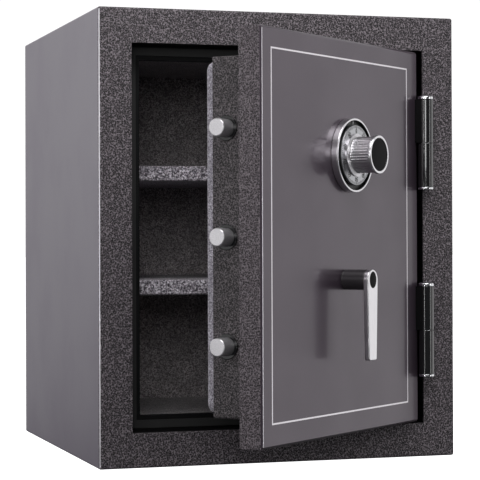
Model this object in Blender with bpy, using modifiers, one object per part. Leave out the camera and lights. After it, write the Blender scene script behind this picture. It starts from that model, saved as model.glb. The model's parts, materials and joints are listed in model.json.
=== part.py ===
# A small fire-lined safe: a steel body with a swinging plug door, a combination lock,
# a lever handle that throws three bolts, and two lined shelves on slotted standards.
# Metres, +Z up. The origin is the centre of the base, and the closed door faces -Y.

from math import cos, pi, radians, sin

import bmesh
import bpy
from mathutils import Matrix, Vector

OBJECT_NAME = "safe"
GAP = 0.0003                # between two pieces that touch
RUNNING_GAP = 0.0005        # between a moving piece and what it runs in
PAST = 0.01                 # how far a cutter runs past what it cuts
WELD = 0.00001              # points closer than this are one point

# Body
BODY_WIDTH = 0.570
BODY_DEPTH = 0.575
BODY_HEIGHT = 0.686
STILE = 0.051               # side wall, and the width of the front's stiles
RAIL = 0.0524               # top and bottom wall
BACK_WALL = 0.051
SHELL_STEEL = 0.004         # more than the radius of its edges
SHELL_RADIUS = 0.0035
JAMB_STEEL = 0.003
LINER_STEEL = 0.0015
LINING = 0.004              # carpet on the inner walls
STOP_WIDTH = 0.0215         # how far the door stop stands into the opening
STOP_DEPTH = 0.020          # depths are measured from the body's front face
SEAL_ROOM = 0.004           # between the closed door's slab and the stop
SEAL_WIDTH = 0.012
SEAL_DEPTH = 0.0028

# Shelves
SHELF_THICKNESS = 0.024
SHELF_CLEARANCE = 0.009     # between the closed door's cover and the shelves
SHELF_RADIUS = 0.003
SHELF_SLOTS = {"lower": 7, "upper": 14}
STANDARD_WIDTH = 0.016
STANDARD_DEPTH = 0.003
STANDARD_INSET = 0.045      # from the shelf's front and back edges
STANDARD_MARGIN = 0.012     # short of the floor and the ceiling
SLOT_PITCH = 0.0255
FIRST_SLOT = 0.0204
SLOT_SIZE = (0.0072, 0.0034)
BRACKET_STEEL = 0.0024
BRACKET_LEDGE = 0.014
BRACKET_DROP = 0.016
TONGUE_WIDTH = 0.006
TONGUE_REACH = 0.0024

# Door
DOOR_REST = radians(40)
DOOR_GAP = 0.0034
SLAB_DEPTH = 0.036
SKIN_STEEL = 0.005
SKIN_RADIUS = 0.0025
BACK_PLATE = 0.003
HARD_PLATE = 0.006
HARD_PLATE_WIDTH = 0.124
PLUG_INSET = 0.0316
PLUG_INSET_HEIGHT = 0.036
PLUG_DEPTH = 0.063
PLUG_STEEL = 0.003
PLUG_RADIUS = 0.0015
COVER_INSET = 0.006
COVER_DEPTH = 0.016
COVER_RADIUS = 0.014
COVER_EDGE = 0.003

# Hinges
HINGE_SPREAD = 0.2904       # between the centres of the two hinges
HINGE_LENGTH = 0.136        # both knuckles
HINGE_RADIUS = 0.012
HINGE_CLEARANCE = 0.0007    # between the barrel and the body's front
HINGE_BESIDE = 0.0006       # the pin's axis inside the opening's edge
PIN_RADIUS = 0.006
TOP_CAP = 0.0070
BOTTOM_CAP = 0.0055
CAP_CHAMFER = 0.0015
CAP_OVERLAP = 0.0002        # the caps are this much bigger than the barrel
FOOT_WIDTH = 0.0085

# Bolts
BOLT_RADIUS = 0.0127
BOLT_CHAMFER = 0.0015
BOLT_PITCH = 0.1512
BOLT_GRIP = 0.0035          # between the back of the stop and a bolt
BOLT_PROJECTION = 0.026
BOLT_TRAVEL = 0.025
BOLT_LENGTH = 0.075
BUSH_WALL = 0.0023
BUSH_FLANGE = 0.0015
DEAD_BOLT_HEAD = 0.004
CARRIER_STEEL = 0.008
CARRIER_WIDTH = 0.056
BOLT_SLOT = 0.018           # how far the carrier's edge enters a bolt
STUD_RADIUS = 0.005
STUD_HEAD = 0.003           # the head's thickness, and its overhang
STUD_FLANGE = 0.004

# Handle
HANDLE_X = 0.0
HANDLE_BELOW = 0.062        # below the door's centre
HANDLE_TURN = radians(80)
NECK_RADIUS = 0.0148
NECK_LENGTH = 0.0370
LEVER_THICKNESS = 0.008
LEVER_LENGTH = 0.1158       # from the axis to the tip
LEVER_WIDTH = 0.030
LEVER_TIP = 0.0225
CAP_SIZE = (0.020, 0.025)
SPINDLE_RADIUS = 0.007
CAM_RADIUS = 0.030
CAM_STANDOFF = 0.014        # from the back of the slab
CAM_STEEL = 0.008
CRANK_PIN_RADIUS = 0.005
CRANK_PIN_PAST = 0.004      # past the back of the carrier
YOKE_HEIGHT = 0.042
LEVER_RADIUS = 0.0012
CAP_SUNK = 0.0006           # the cap's face is this far behind the lever's

# Combination lock
DIAL_X = 0.013
DIAL_ABOVE = 0.1188         # above the door's centre
RING_RADIUS = 0.0543
RING_DEPTH = 0.0108
RING_RIM = 0.003
RING_FLOOR = 0.005
RING_CHAMFER = 0.001
DIAL_RADIUS = 0.0439
DIAL_BACK = 0.0075
DIAL_THICKNESS = 0.0042
KNOB_BASE_RADIUS = 0.0312
KNOB_RADIUS = 0.0262
KNOB_RIM_RADIUS = 0.0284
KNOB_FRONT = 0.050
KNOB_CAP_RADIUS = 0.024
KNOB_CAP_DEPTH = 0.002
KNOB_CHAMFER = 0.0015
KNOB_RIM = 0.004
KNOB_FOOT = 0.002
KNOB_FLARE = 0.003
DIAL_SPINDLE_RADIUS = 0.0045
LOCK_WIDTH = 0.062
LOCK_ABOVE = 0.031
LOCK_BELOW = 0.052
LOCK_DEPTH = 0.030
LOCK_WALL = 0.003
LOCK_BOLT_INSET = 0.010     # from the door's back plate
LOCK_BOLT_SIZE = (0.018, 0.010)
LOCK_TRAVEL = 0.008
WHEEL_RADIUS = 0.024
WHEEL_BORE = 0.0065
WHEEL_THICKNESS = 0.003
WHEEL_PITCH = 0.004
WHEEL_INSET = 0.006
WEDGE_UNDER = 0.002         # between the lock's case and the wedge that passes it
ARM_HEIGHT = 0.0125
ARM_DROP = 0.004
GATE = (0.005, 0.004)

# Worked out from the sizes above
STOP_FRONT = SLAB_DEPTH + SEAL_ROOM
STOP_BACK = STOP_FRONT + STOP_DEPTH
BOLT_DEPTH = STOP_BACK + BOLT_GRIP + BOLT_RADIUS
PLUG_BACK = SLAB_DEPTH + PLUG_DEPTH
SHELF_FRONT = PLUG_BACK + COVER_DEPTH + SHELF_CLEARANCE
CAM_FRONT = SLAB_DEPTH + CAM_STANDOFF
FRONT = -BODY_DEPTH / 2
BACK = BODY_DEPTH / 2
OPENING = BODY_WIDTH / 2 - STILE
LOW = RAIL
HIGH = BODY_HEIGHT - RAIL
MIDDLE = BODY_HEIGHT / 2
DOOR_HALF = OPENING - DOOR_GAP
DOOR_LOW = LOW + DOOR_GAP
DOOR_HIGH = HIGH - DOOR_GAP
PLUG_HALF = DOOR_HALF - PLUG_INSET
PLUG_LOW = DOOR_LOW + PLUG_INSET_HEIGHT
PLUG_HIGH = DOOR_HIGH - PLUG_INSET_HEIGHT
HINGE_X = OPENING - HINGE_BESIDE
HINGE_Y = FRONT - HINGE_RADIUS - HINGE_CLEARANCE
BOLT_HEIGHTS = [MIDDLE + step * BOLT_PITCH for step in (1, 0, -1)]
CRANK = BOLT_TRAVEL / (2 * sin(HANDLE_TURN / 2))
HANDLE_Z = MIDDLE - HANDLE_BELOW
DIAL_Z = MIDDLE + DIAL_ABOVE
CARRIER_EDGE = -(PLUG_HALF + BOLT_PROJECTION - BOLT_LENGTH + BOLT_SLOT)
CARRIER_FRONT = BOLT_DEPTH - CARRIER_STEEL / 2
LOCK_FRONT = SLAB_DEPTH + LOCK_BOLT_INSET
INNER_BACK = BACK - BACK_WALL
FLOOR = LOW + GAP + LINING
STANDARD_X = OPENING - 2 * GAP - LINING


def new_collection(name):
    collection = bpy.data.collections.new(name)
    bpy.context.scene.collection.children.link(collection)
    return collection


def paint(name, colour, metallic, roughness):
    material = bpy.data.materials.new(name)
    material.use_nodes = True
    shader = material.node_tree.nodes["Principled BSDF"]
    shader.inputs["Base Color"].default_value = (*colour, 1)
    shader.inputs["Metallic"].default_value = metallic
    shader.inputs["Roughness"].default_value = roughness
    return material


def joint_axis(name, spot, home=None):
    # Every piece that moves hangs from an empty that sits on its joint's axis.
    empty = bpy.data.objects.new(name, None)
    PARTS.objects.link(empty)
    empty["spot"] = spot
    place(empty, spot, home)
    return empty


def place(obj, spot, home):
    # Spots are given with the door closed, and the door's empty then swings it open.
    obj.parent = home
    start = Vector(home["spot"]) if home else Vector()
    obj.location = Vector(spot) - start


def add_object(name, data, spot, home, look):
    obj = bpy.data.objects.new(name, data)
    if look:
        PARTS.objects.link(obj)
        material = paint(name, *look)
        data.materials.append(material)
    else:
        CUTTERS.objects.link(obj)
        obj.hide_render = True
        obj.display_type = "WIRE"
    place(obj, spot, home)
    return obj


def cube_mesh(name, low, high):
    low = Vector(low)
    high = Vector(high)
    size = high - low
    mesh = bpy.data.meshes.new(name)
    build = bmesh.new()
    bmesh.ops.create_cube(build, size=1, matrix=Matrix.Diagonal((*size, 1)))
    build.to_mesh(mesh)
    build.free()
    return mesh, (low + high) / 2


def round_edges(obj, radius, segments=2):
    bevel = obj.modifiers.new("round_edges", "BEVEL")
    bevel.width = radius
    bevel.segments = segments
    bevel.limit_method = "ANGLE"


def block(name, low, high, home, look, radius=0):
    mesh, centre = cube_mesh(name, low, high)
    obj = add_object(name, mesh, centre, home, look)
    if radius:
        round_edges(obj, radius)
    return obj


def open_box(name, low, high, open_normal, wall, home, look):
    # A sheet box with one side left open, its wall thickened inwards.
    mesh, centre = cube_mesh(name, low, high)
    build = bmesh.new()
    build.from_mesh(mesh)
    open_faces = [f for f in build.faces if f.normal.dot(Vector(open_normal)) > 0.9]
    bmesh.ops.delete(build, geom=open_faces, context="FACES")
    build.to_mesh(mesh)
    build.free()
    obj = add_object(name, mesh, centre, home, look)
    solidify = obj.modifiers.new("wall", "SOLIDIFY")
    solidify.thickness = wall
    solidify.offset = -1
    solidify.use_even_offset = True
    return obj


def turned(name, profile, spot, facing, home, look, steps=48):
    # A lathe profile of (radius, height) points, run down the outer side. Its axis is
    # turned to face the front of the door, the free side of the door, the hinge or up.
    mesh = bpy.data.meshes.new(name)
    build = bmesh.new()
    points = [build.verts.new((radius, 0, height)) for radius, height in profile]
    for start, end in zip(points, points[1:]):
        build.edges.new((start, end))
    if profile[0][0] > 0:
        build.edges.new((points[-1], points[0]))
    build.to_mesh(mesh)
    build.free()
    obj = add_object(name, mesh, spot, home, look)
    obj.rotation_euler = {"front": (pi / 2, 0, 0), "free_side": (0, -pi / 2, 0),
                          "hinge_side": (0, pi / 2, 0), "up": (0, 0, 0)}[facing]
    screw = obj.modifiers.new("turn", "SCREW")
    screw.steps = steps
    screw.render_steps = steps
    screw.use_merge_vertices = True
    screw.merge_threshold = WELD
    screw.use_smooth_shade = True
    return obj


def plate(name, outlines, front, thickness, home, look):
    # A flat plate across the door or the body: outlines of (x, z) points, the first is
    # the rim and the others are holes. It starts at the given depth behind the front.
    curve = bpy.data.curves.new(name, "CURVE")
    curve.dimensions = "2D"
    curve.fill_mode = "BOTH"
    curve.extrude = thickness / 2
    for outline in outlines:
        spline = curve.splines.new("POLY")
        spline.points.add(len(outline) - 1)
        for point, (x, z) in zip(spline.points, outline):
            point.co = (x, z, 0, 1)
        spline.use_cyclic_u = True
    drawn = bpy.data.objects.new(name, curve)
    PARTS.objects.link(drawn)
    depsgraph = bpy.context.evaluated_depsgraph_get()
    mesh = bpy.data.meshes.new_from_object(drawn.evaluated_get(depsgraph))
    bpy.data.objects.remove(drawn)
    bpy.data.curves.remove(curve)
    mesh.name = name
    mesh.materials.clear()
    build = bmesh.new()
    build.from_mesh(mesh)
    bmesh.ops.remove_doubles(build, verts=build.verts, dist=WELD)
    build.to_mesh(mesh)
    build.free()
    mesh.transform(Matrix.Rotation(pi / 2, 4, "X"))
    return add_object(name, mesh, (0, FRONT + front + thickness / 2, 0), home, look)


def rectangle(half_width, low, high):
    return [(-half_width, low), (half_width, low), (half_width, high), (-half_width, high)]


def oval(centre, half_width, half_height, points=32):
    x, z = centre
    angles = [2 * pi * step / points for step in range(points)]
    return [(x + half_width * cos(a), z + half_height * sin(a)) for a in angles]


def rounded_rectangle(half_width, low, high, radius, steps=4):
    corners = [(half_width - radius, high - radius, 0), (radius - half_width, high - radius, 1),
               (radius - half_width, low + radius, 2), (half_width - radius, low + radius, 3)]
    outline = []
    for x, z, quarter in corners:
        for step in range(steps + 1):
            angle = (quarter + step / steps) * pi / 2
            outline.append((x + radius * cos(angle), z + radius * sin(angle)))
    return outline


def combine(obj, tool, operation):
    boolean = obj.modifiers.new(operation.lower(), "BOOLEAN")
    boolean.operation = operation
    boolean.object = tool
    boolean.solver = "EXACT"


def cut_block(obj, low, high, home):
    combine(obj, block(obj.name + "_cut", low, high, home, None), "DIFFERENCE")


def cut_hole(obj, spot, facing, radius, length, home):
    profile = [(0, length / 2), (radius, length / 2), (radius, -length / 2), (0, -length / 2)]
    combine(obj, turned(obj.name + "_hole", profile, spot, facing, home, None, 32), "DIFFERENCE")


def body_shell():
    half = BODY_WIDTH / 2
    shell = block("body_shell", (-half, FRONT, 0), (half, BACK, BODY_HEIGHT), None, HAMMERTONE,
                  SHELL_RADIUS)
    inside = half - SHELL_STEEL
    cut_block(shell, (-inside, FRONT + SHELL_STEEL, SHELL_STEEL),
              (inside, BACK + PAST, BODY_HEIGHT - SHELL_STEEL), None)
    cut_block(shell, (-OPENING, FRONT - PAST, LOW), (OPENING, FRONT + PAST, HIGH), None)
    inside -= GAP
    low = SHELL_STEEL + GAP
    block("rear_panel", (-inside, BACK - SHELL_STEEL, low), (inside, BACK, BODY_HEIGHT - low), None,
          HAMMERTONE)


def fire_lining():
    # The jamb lines the opening and steps in behind it as the stop that the door shuts on.
    outer = OPENING + JAMB_STEEL
    jamb = block("door_jamb", (-outer, FRONT + SHELL_STEEL + GAP, LOW - JAMB_STEEL),
                 (outer, FRONT + STOP_BACK, HIGH + JAMB_STEEL), None, BLACK_PAINT)
    cut_block(jamb, (-OPENING, FRONT - PAST, LOW), (OPENING, FRONT + STOP_FRONT, HIGH), None)
    clear = OPENING - STOP_WIDTH
    cut_block(jamb, (-clear, FRONT, LOW + STOP_WIDTH),
              (clear, FRONT + STOP_BACK + PAST, HIGH - STOP_WIDTH), None)

    outer = OPENING + LINER_STEEL
    open_box("inner_liner", (-outer, FRONT + STOP_BACK + GAP, LOW - LINER_STEEL),
             (outer, INNER_BACK + LINER_STEEL, HIGH + LINER_STEEL), (0, -1, 0), LINER_STEEL, None,
             BLACK_PAINT)

    outer = BODY_WIDTH / 2 - SHELL_STEEL - GAP
    low = SHELL_STEEL + GAP
    fill = block("fire_insulation", (-outer, FRONT + low, low),
                 (outer, BACK - low, BODY_HEIGHT - low), None, CONCRETE)
    inner = OPENING + JAMB_STEEL + GAP
    cut_block(fill, (-inner, FRONT - PAST, LOW - JAMB_STEEL - GAP),
              (inner, INNER_BACK + LINER_STEEL + GAP, HIGH + JAMB_STEEL + GAP), None)

    outer = OPENING - GAP
    open_box("carpet_lining", (-outer, FRONT + STOP_BACK + GAP, LOW + GAP),
             (outer, INNER_BACK - GAP, HIGH - GAP), (0, -1, 0), LINING, None, CARPET)

    rim = OPENING - DOOR_GAP
    outline = rectangle(rim, DOOR_LOW, DOOR_HIGH)
    hole = rectangle(rim - SEAL_WIDTH, DOOR_LOW + SEAL_WIDTH, DOOR_HIGH - SEAL_WIDTH)
    plate("door_seal", [outline, hole], STOP_FRONT - GAP - SEAL_DEPTH, SEAL_DEPTH, None, RUBBER)


def slot_height(number):
    return LOW + FIRST_SLOT + number * SLOT_PITCH


def standard_depths():
    return {"front": FRONT + SHELF_FRONT + STANDARD_INSET,
            "rear": INNER_BACK - LINING - STANDARD_INSET}


def shelf_standard(name, side, centre):
    # A strip on the side wall, with a row of slots cut right through it.
    low = FLOOR + STANDARD_MARGIN
    high = HIGH - GAP - LINING - STANDARD_MARGIN
    half = STANDARD_WIDTH / 2
    ends = sorted((side * STANDARD_X, side * (STANDARD_X - STANDARD_DEPTH)))
    strip = block(name, (ends[0], centre - half, low), (ends[1], centre + half, high), None, ZINC)
    slot_half = SLOT_SIZE[0] / 2
    slot_rise = SLOT_SIZE[1] / 2
    first = slot_height(0)
    slots = block(name + "_slots", (ends[0] - PAST, centre - slot_half, first - slot_rise),
                  (ends[1] + PAST, centre + slot_half, first + slot_rise), None, None)
    row = slots.modifiers.new("row", "ARRAY")
    row.use_relative_offset = False
    row.use_constant_offset = True
    row.constant_offset_displace = (0, 0, SLOT_PITCH)
    row.count = int((high - STANDARD_MARGIN - first) / SLOT_PITCH) + 1
    combine(strip, slots, "DIFFERENCE")


def shelf_bracket(name, side, slot):
    # An angle along one side of a shelf, with a tongue into each standard.
    depths = standard_depths()
    inner = STANDARD_X - STANDARD_DEPTH - GAP
    top = slot_height(slot) + BRACKET_STEEL / 2
    margin = STANDARD_WIDTH / 2
    ends = sorted((side * inner, side * (inner - BRACKET_LEDGE)))
    bracket = block(name, (ends[0], depths["front"] - margin, top - BRACKET_STEEL),
                    (ends[1], depths["rear"] + margin, top), None, ZINC)
    ends = sorted((side * inner, side * (inner - BRACKET_STEEL)))
    web = block(name + "_web", (ends[0], depths["front"] - margin, top - BRACKET_DROP),
                (ends[1], depths["rear"] + margin, top - BRACKET_STEEL / 2), None, None)
    combine(bracket, web, "UNION")
    for depth in depths.values():
        ends = sorted((side * (inner - BRACKET_STEEL / 2), side * (inner + TONGUE_REACH)))
        tongue = block(name + "_tongue", (ends[0], depth - TONGUE_WIDTH / 2, top - BRACKET_STEEL),
                       (ends[1], depth + TONGUE_WIDTH / 2, top), None, None)
        combine(bracket, tongue, "UNION")


def shelves():
    for side_name, side in (("left", -1), ("right", 1)):
        for place_name, depth in standard_depths().items():
            shelf_standard("shelf_standard_" + side_name + "_" + place_name, side, depth)
    for name, slot in SHELF_SLOTS.items():
        for side_name, side in (("left", -1), ("right", 1)):
            shelf_bracket("shelf_bracket_" + name + "_" + side_name, side, slot)
        bottom = slot_height(slot) + BRACKET_STEEL / 2 + GAP
        half = STANDARD_X - STANDARD_DEPTH - 2 * GAP
        centre = (0, (FRONT + SHELF_FRONT + INNER_BACK) / 2, bottom)
        lift = joint_axis("shelf_" + name + "_lift", centre)
        block("shelf_" + name, (-half, FRONT + SHELF_FRONT, bottom),
              (half, INNER_BACK - LINING - 4 * GAP, bottom + SHELF_THICKNESS), lift, CARPET,
              SHELF_RADIUS)


def knuckle(name, low, high, foot_low, foot_high, home):
    # A barrel with a foot that is welded flat onto the face behind it, bored for the pin.
    radius = HINGE_RADIUS
    profile = [(0, high), (radius, high), (radius, low), (0, low)]
    barrel = turned(name, profile, (HINGE_X, HINGE_Y, 0), "up", home, BLACK_PAINT, 32)
    foot = block(name + "_foot", (foot_low, HINGE_Y, low), (foot_high, FRONT - GAP, high), home, None)
    combine(barrel, foot, "UNION")
    middle = (HINGE_X, HINGE_Y, (low + high) / 2)
    cut_hole(barrel, middle, "up", PIN_RADIUS + RUNNING_GAP, 2 * (high - low), home)


def hinges(door):
    for name, side in (("upper", 1), ("lower", -1)):
        centre = MIDDLE + side * HINGE_SPREAD / 2
        low = centre - HINGE_LENGTH / 2
        high = centre + HINGE_LENGTH / 2
        body_foot = HINGE_X + HINGE_RADIUS - FOOT_WIDTH
        knuckle("hinge_" + name + "_body_knuckle", low, centre - GAP, body_foot,
                body_foot + FOOT_WIDTH, None)
        door_foot = HINGE_X - HINGE_RADIUS
        knuckle("hinge_" + name + "_door_knuckle", centre + GAP, high, door_foot,
                min(door_foot + FOOT_WIDTH, DOOR_HALF), door)
        cap = HINGE_RADIUS + CAP_OVERLAP
        pin = [(0, high), (PIN_RADIUS, high), (PIN_RADIUS, low - GAP), (cap, low - GAP),
               (cap, low - BOTTOM_CAP + CAP_CHAMFER), (cap - CAP_CHAMFER, low - BOTTOM_CAP),
               (0, low - BOTTOM_CAP)]
        turned("hinge_" + name + "_pin", pin, (HINGE_X, HINGE_Y, 0), "up", None, CHROME, 32)
        top = high + TOP_CAP
        cap_profile = [(0, top), (cap - CAP_CHAMFER, top), (cap, top - CAP_CHAMFER), (cap, high + GAP),
                       (0, high + GAP)]
        turned("hinge_" + name + "_cap", cap_profile, (HINGE_X, HINGE_Y, 0), "up", None, CHROME, 32)


def door_slab(door):
    skin = block("door_skin", (-DOOR_HALF, FRONT, DOOR_LOW),
                 (DOOR_HALF, FRONT + SLAB_DEPTH, DOOR_HIGH), door, GREY_GLOSS, SKIN_RADIUS)
    cut_block(skin, (SKIN_STEEL - DOOR_HALF, FRONT + SKIN_STEEL, DOOR_LOW + SKIN_STEEL),
              (DOOR_HALF - SKIN_STEEL, FRONT + SLAB_DEPTH + PAST, DOOR_HIGH - SKIN_STEEL), door)
    shafts = [(HANDLE_X, HANDLE_Z, SPINDLE_RADIUS), (DIAL_X, DIAL_Z, DIAL_SPINDLE_RADIUS)]
    inside = DOOR_HALF - SKIN_STEEL - GAP
    low = DOOR_LOW + SKIN_STEEL + GAP
    high = DOOR_HIGH - SKIN_STEEL - GAP
    core_front = SKIN_STEEL + GAP
    plate_front = SLAB_DEPTH - BACK_PLATE
    core = block("door_insulation", (-inside, FRONT + core_front, low),
                 (inside, FRONT + plate_front - GAP, high), door, CONCRETE)
    holes = []
    for x, z, radius in shafts:
        for piece in (skin, core):
            cut_hole(piece, (x, FRONT + SLAB_DEPTH / 2, z), "front", radius + 2 * RUNNING_GAP,
                     2 * SLAB_DEPTH, door)
        holes.append(oval((x, z), radius + RUNNING_GAP, radius + RUNNING_GAP))
    plate("door_back_plate", [rectangle(inside, low, high)] + holes, plate_front, BACK_PLATE, door,
          BLACK_PAINT)

    # The drill-resisting plate is set into the core, behind the skin.
    half = HARD_PLATE_WIDTH / 2
    low = HANDLE_Z - 2 * NECK_RADIUS
    high = DIAL_Z + RING_RADIUS
    outline = rectangle(half, low, high)
    plate("hard_plate", [outline] + holes, core_front, HARD_PLATE, door, RAW_STEEL)
    cut_block(core, (-half - GAP, FRONT, low - GAP),
              (half + GAP, FRONT + core_front + HARD_PLATE + GAP, high + GAP), door)


def door_plug(door):
    plug = block("plug_frame", (-PLUG_HALF, FRONT + SLAB_DEPTH + GAP, PLUG_LOW),
                 (PLUG_HALF, FRONT + PLUG_BACK, PLUG_HIGH), door, HAMMERTONE, PLUG_RADIUS)
    inner = PLUG_HALF - PLUG_STEEL
    cut_block(plug, (-inner, FRONT, PLUG_LOW + PLUG_STEEL),
              (inner, FRONT + 2 * PLUG_BACK, PLUG_HIGH - PLUG_STEEL), door)
    for number, height in enumerate(BOLT_HEIGHTS, 1):
        centre = FRONT + BOLT_DEPTH
        bore = BOLT_RADIUS + RUNNING_GAP
        barrel = bore + BUSH_WALL
        cut_hole(plug, (-PLUG_HALF, centre, height), "free_side", barrel + GAP, 2 * PAST, door)
        cut_hole(plug, (PLUG_HALF, centre, height), "hinge_side", BOLT_RADIUS + GAP, 2 * PAST, door)
        flange = barrel + BUSH_WALL
        inner_end = -PLUG_STEEL - GAP - BUSH_FLANGE
        outer_end = GAP + BUSH_FLANGE
        bush = [(bore, outer_end), (flange, outer_end), (flange, GAP), (barrel, GAP),
                (barrel, inner_end), (bore, inner_end)]
        turned("bolt_bush_" + str(number), bush, (-PLUG_HALF, centre, height), "free_side", door,
               BLACK_PLASTIC, 32)
        head = BOLT_RADIUS + BUSH_WALL
        seat = -PLUG_STEEL - GAP
        dead = [(0, BOLT_PROJECTION), (BOLT_RADIUS - BOLT_CHAMFER, BOLT_PROJECTION),
                (BOLT_RADIUS, BOLT_PROJECTION - BOLT_CHAMFER), (BOLT_RADIUS, seat), (head, seat),
                (head, seat - DEAD_BOLT_HEAD), (0, seat - DEAD_BOLT_HEAD)]
        turned("dead_bolt_" + str(number), dead, (PLUG_HALF, centre, height), "hinge_side", door,
               SATIN_STEEL, 32)
    half = PLUG_HALF - COVER_INSET
    outline = rounded_rectangle(half, PLUG_LOW + COVER_INSET, PLUG_HIGH - COVER_INSET, COVER_RADIUS)
    cover = plate("rear_cover", [outline], PLUG_BACK + GAP, COVER_DEPTH, door, CARPET)
    round_edges(cover, COVER_EDGE)


def boltwork(door):
    slide = joint_axis("bolt_slide", (CARRIER_EDGE, FRONT + BOLT_DEPTH, MIDDLE), door)
    for number, height in enumerate(BOLT_HEIGHTS, 1):
        tip = BOLT_PROJECTION
        end = tip - BOLT_LENGTH
        profile = [(0, tip), (BOLT_RADIUS - BOLT_CHAMFER, tip), (BOLT_RADIUS, tip - BOLT_CHAMFER),
                   (BOLT_RADIUS, end), (0, end)]
        bolt = turned("live_bolt_" + str(number), profile, (-PLUG_HALF, FRONT + BOLT_DEPTH, height),
                      "free_side", slide, SATIN_STEEL, 32)
        reach = 2 * BOLT_RADIUS
        slot_back = FRONT + CARRIER_FRONT + CARRIER_STEEL + GAP
        cut_block(bolt, (CARRIER_EDGE - GAP, FRONT + CARRIER_FRONT - GAP, height - reach),
                  (CARRIER_EDGE + 2 * BOLT_SLOT, slot_back, height + reach), slide)

    # The carrier is one flat plate: a bar for the bolts, an arm with the slot that the
    # crank pin drives, and an arm under the lock. Its outline runs anticlockwise.
    left = CARRIER_EDGE
    right = left + CARRIER_WIDTH
    low = BOLT_HEIGHTS[-1] - BOLT_RADIUS
    high = BOLT_HEIGHTS[0] + BOLT_RADIUS
    slot_x = HANDLE_X - BOLT_TRAVEL / 2
    yoke_low = HANDLE_Z
    yoke_high = yoke_low + YOKE_HEIGHT
    yoke_end = slot_x + 3 * CRANK_PIN_RADIUS
    ramp = lock_ramp()
    arm_high = ramp["low"] - ARM_DROP
    arm_low = arm_high - ARM_HEIGHT
    arm_end = ramp["right"]
    rim = [(left, low), (right, low), (right, yoke_low), (yoke_end, yoke_low),
           (yoke_end, yoke_high), (right, yoke_high), (right, arm_low), (arm_end, arm_low),
           (arm_end, arm_high), (right, arm_high), (right, high), (left, high)]
    lift = CRANK * cos(HANDLE_TURN / 2)
    play = 3 * RUNNING_GAP / 2
    slot_half = CRANK_PIN_RADIUS + play
    slot_low = HANDLE_Z + lift - slot_half
    slot_high = HANDLE_Z + CRANK + slot_half
    slot = [(slot_x - slot_half, slot_low), (slot_x + slot_half, slot_low),
            (slot_x + slot_half, slot_high), (slot_x - slot_half, slot_high)]
    middle = (left + right) / 2
    guides = []
    reach = BOLT_TRAVEL / 2 + STUD_RADIUS + RUNNING_GAP
    rise = STUD_RADIUS + RUNNING_GAP
    for name, height in guide_heights().items():
        guides.append([(middle - reach, height - rise), (middle + reach, height - rise),
                       (middle + reach, height + rise), (middle - reach, height + rise)])
        head = rise + STUD_HEAD
        base = -SLAB_DEPTH - GAP
        back = -CARRIER_FRONT - CARRIER_STEEL - RUNNING_GAP
        stud = [(0, base), (head, base), (head, base - STUD_FLANGE), (STUD_RADIUS, base - STUD_FLANGE),
                (STUD_RADIUS, back), (head, back), (head, back - STUD_HEAD), (0, back - STUD_HEAD)]
        turned("guide_stud_" + name, stud, (middle + BOLT_TRAVEL / 2, FRONT, height), "front", door,
               ZINC, 24)
    plate("bolt_carrier", [rim, slot] + guides, CARRIER_FRONT, CARRIER_STEEL, slide, ZINC)

    block_front = LOCK_FRONT - GAP
    outline = [(ramp["left"], arm_low), (ramp["right"], arm_low), (ramp["right"], ramp["low"]),
               (ramp["left"], ramp["high"])]
    thickness = CARRIER_FRONT - GAP - block_front
    plate("lock_wedge", [outline], block_front, thickness, slide, ZINC)


def guide_heights():
    return {"upper": (BOLT_HEIGHTS[0] + BOLT_HEIGHTS[1]) / 2 + BOLT_RADIUS,
            "lower": (BOLT_HEIGHTS[1] + BOLT_HEIGHTS[2]) / 2 - 2 * BOLT_RADIUS}


def lock_ramp():
    # The wedge lifts the lock bolt by its travel while the carrier moves by its own.
    width = LOCK_BOLT_SIZE[0]
    length = width + BOLT_TRAVEL
    rise = length * LOCK_TRAVEL / BOLT_TRAVEL
    high = DIAL_Z - LOCK_BELOW - WEDGE_UNDER
    right = DIAL_X + width / 2
    return {"left": right - length, "right": right, "high": high, "low": high - rise,
            "bolt_rise": width * LOCK_TRAVEL / BOLT_TRAVEL}


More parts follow.
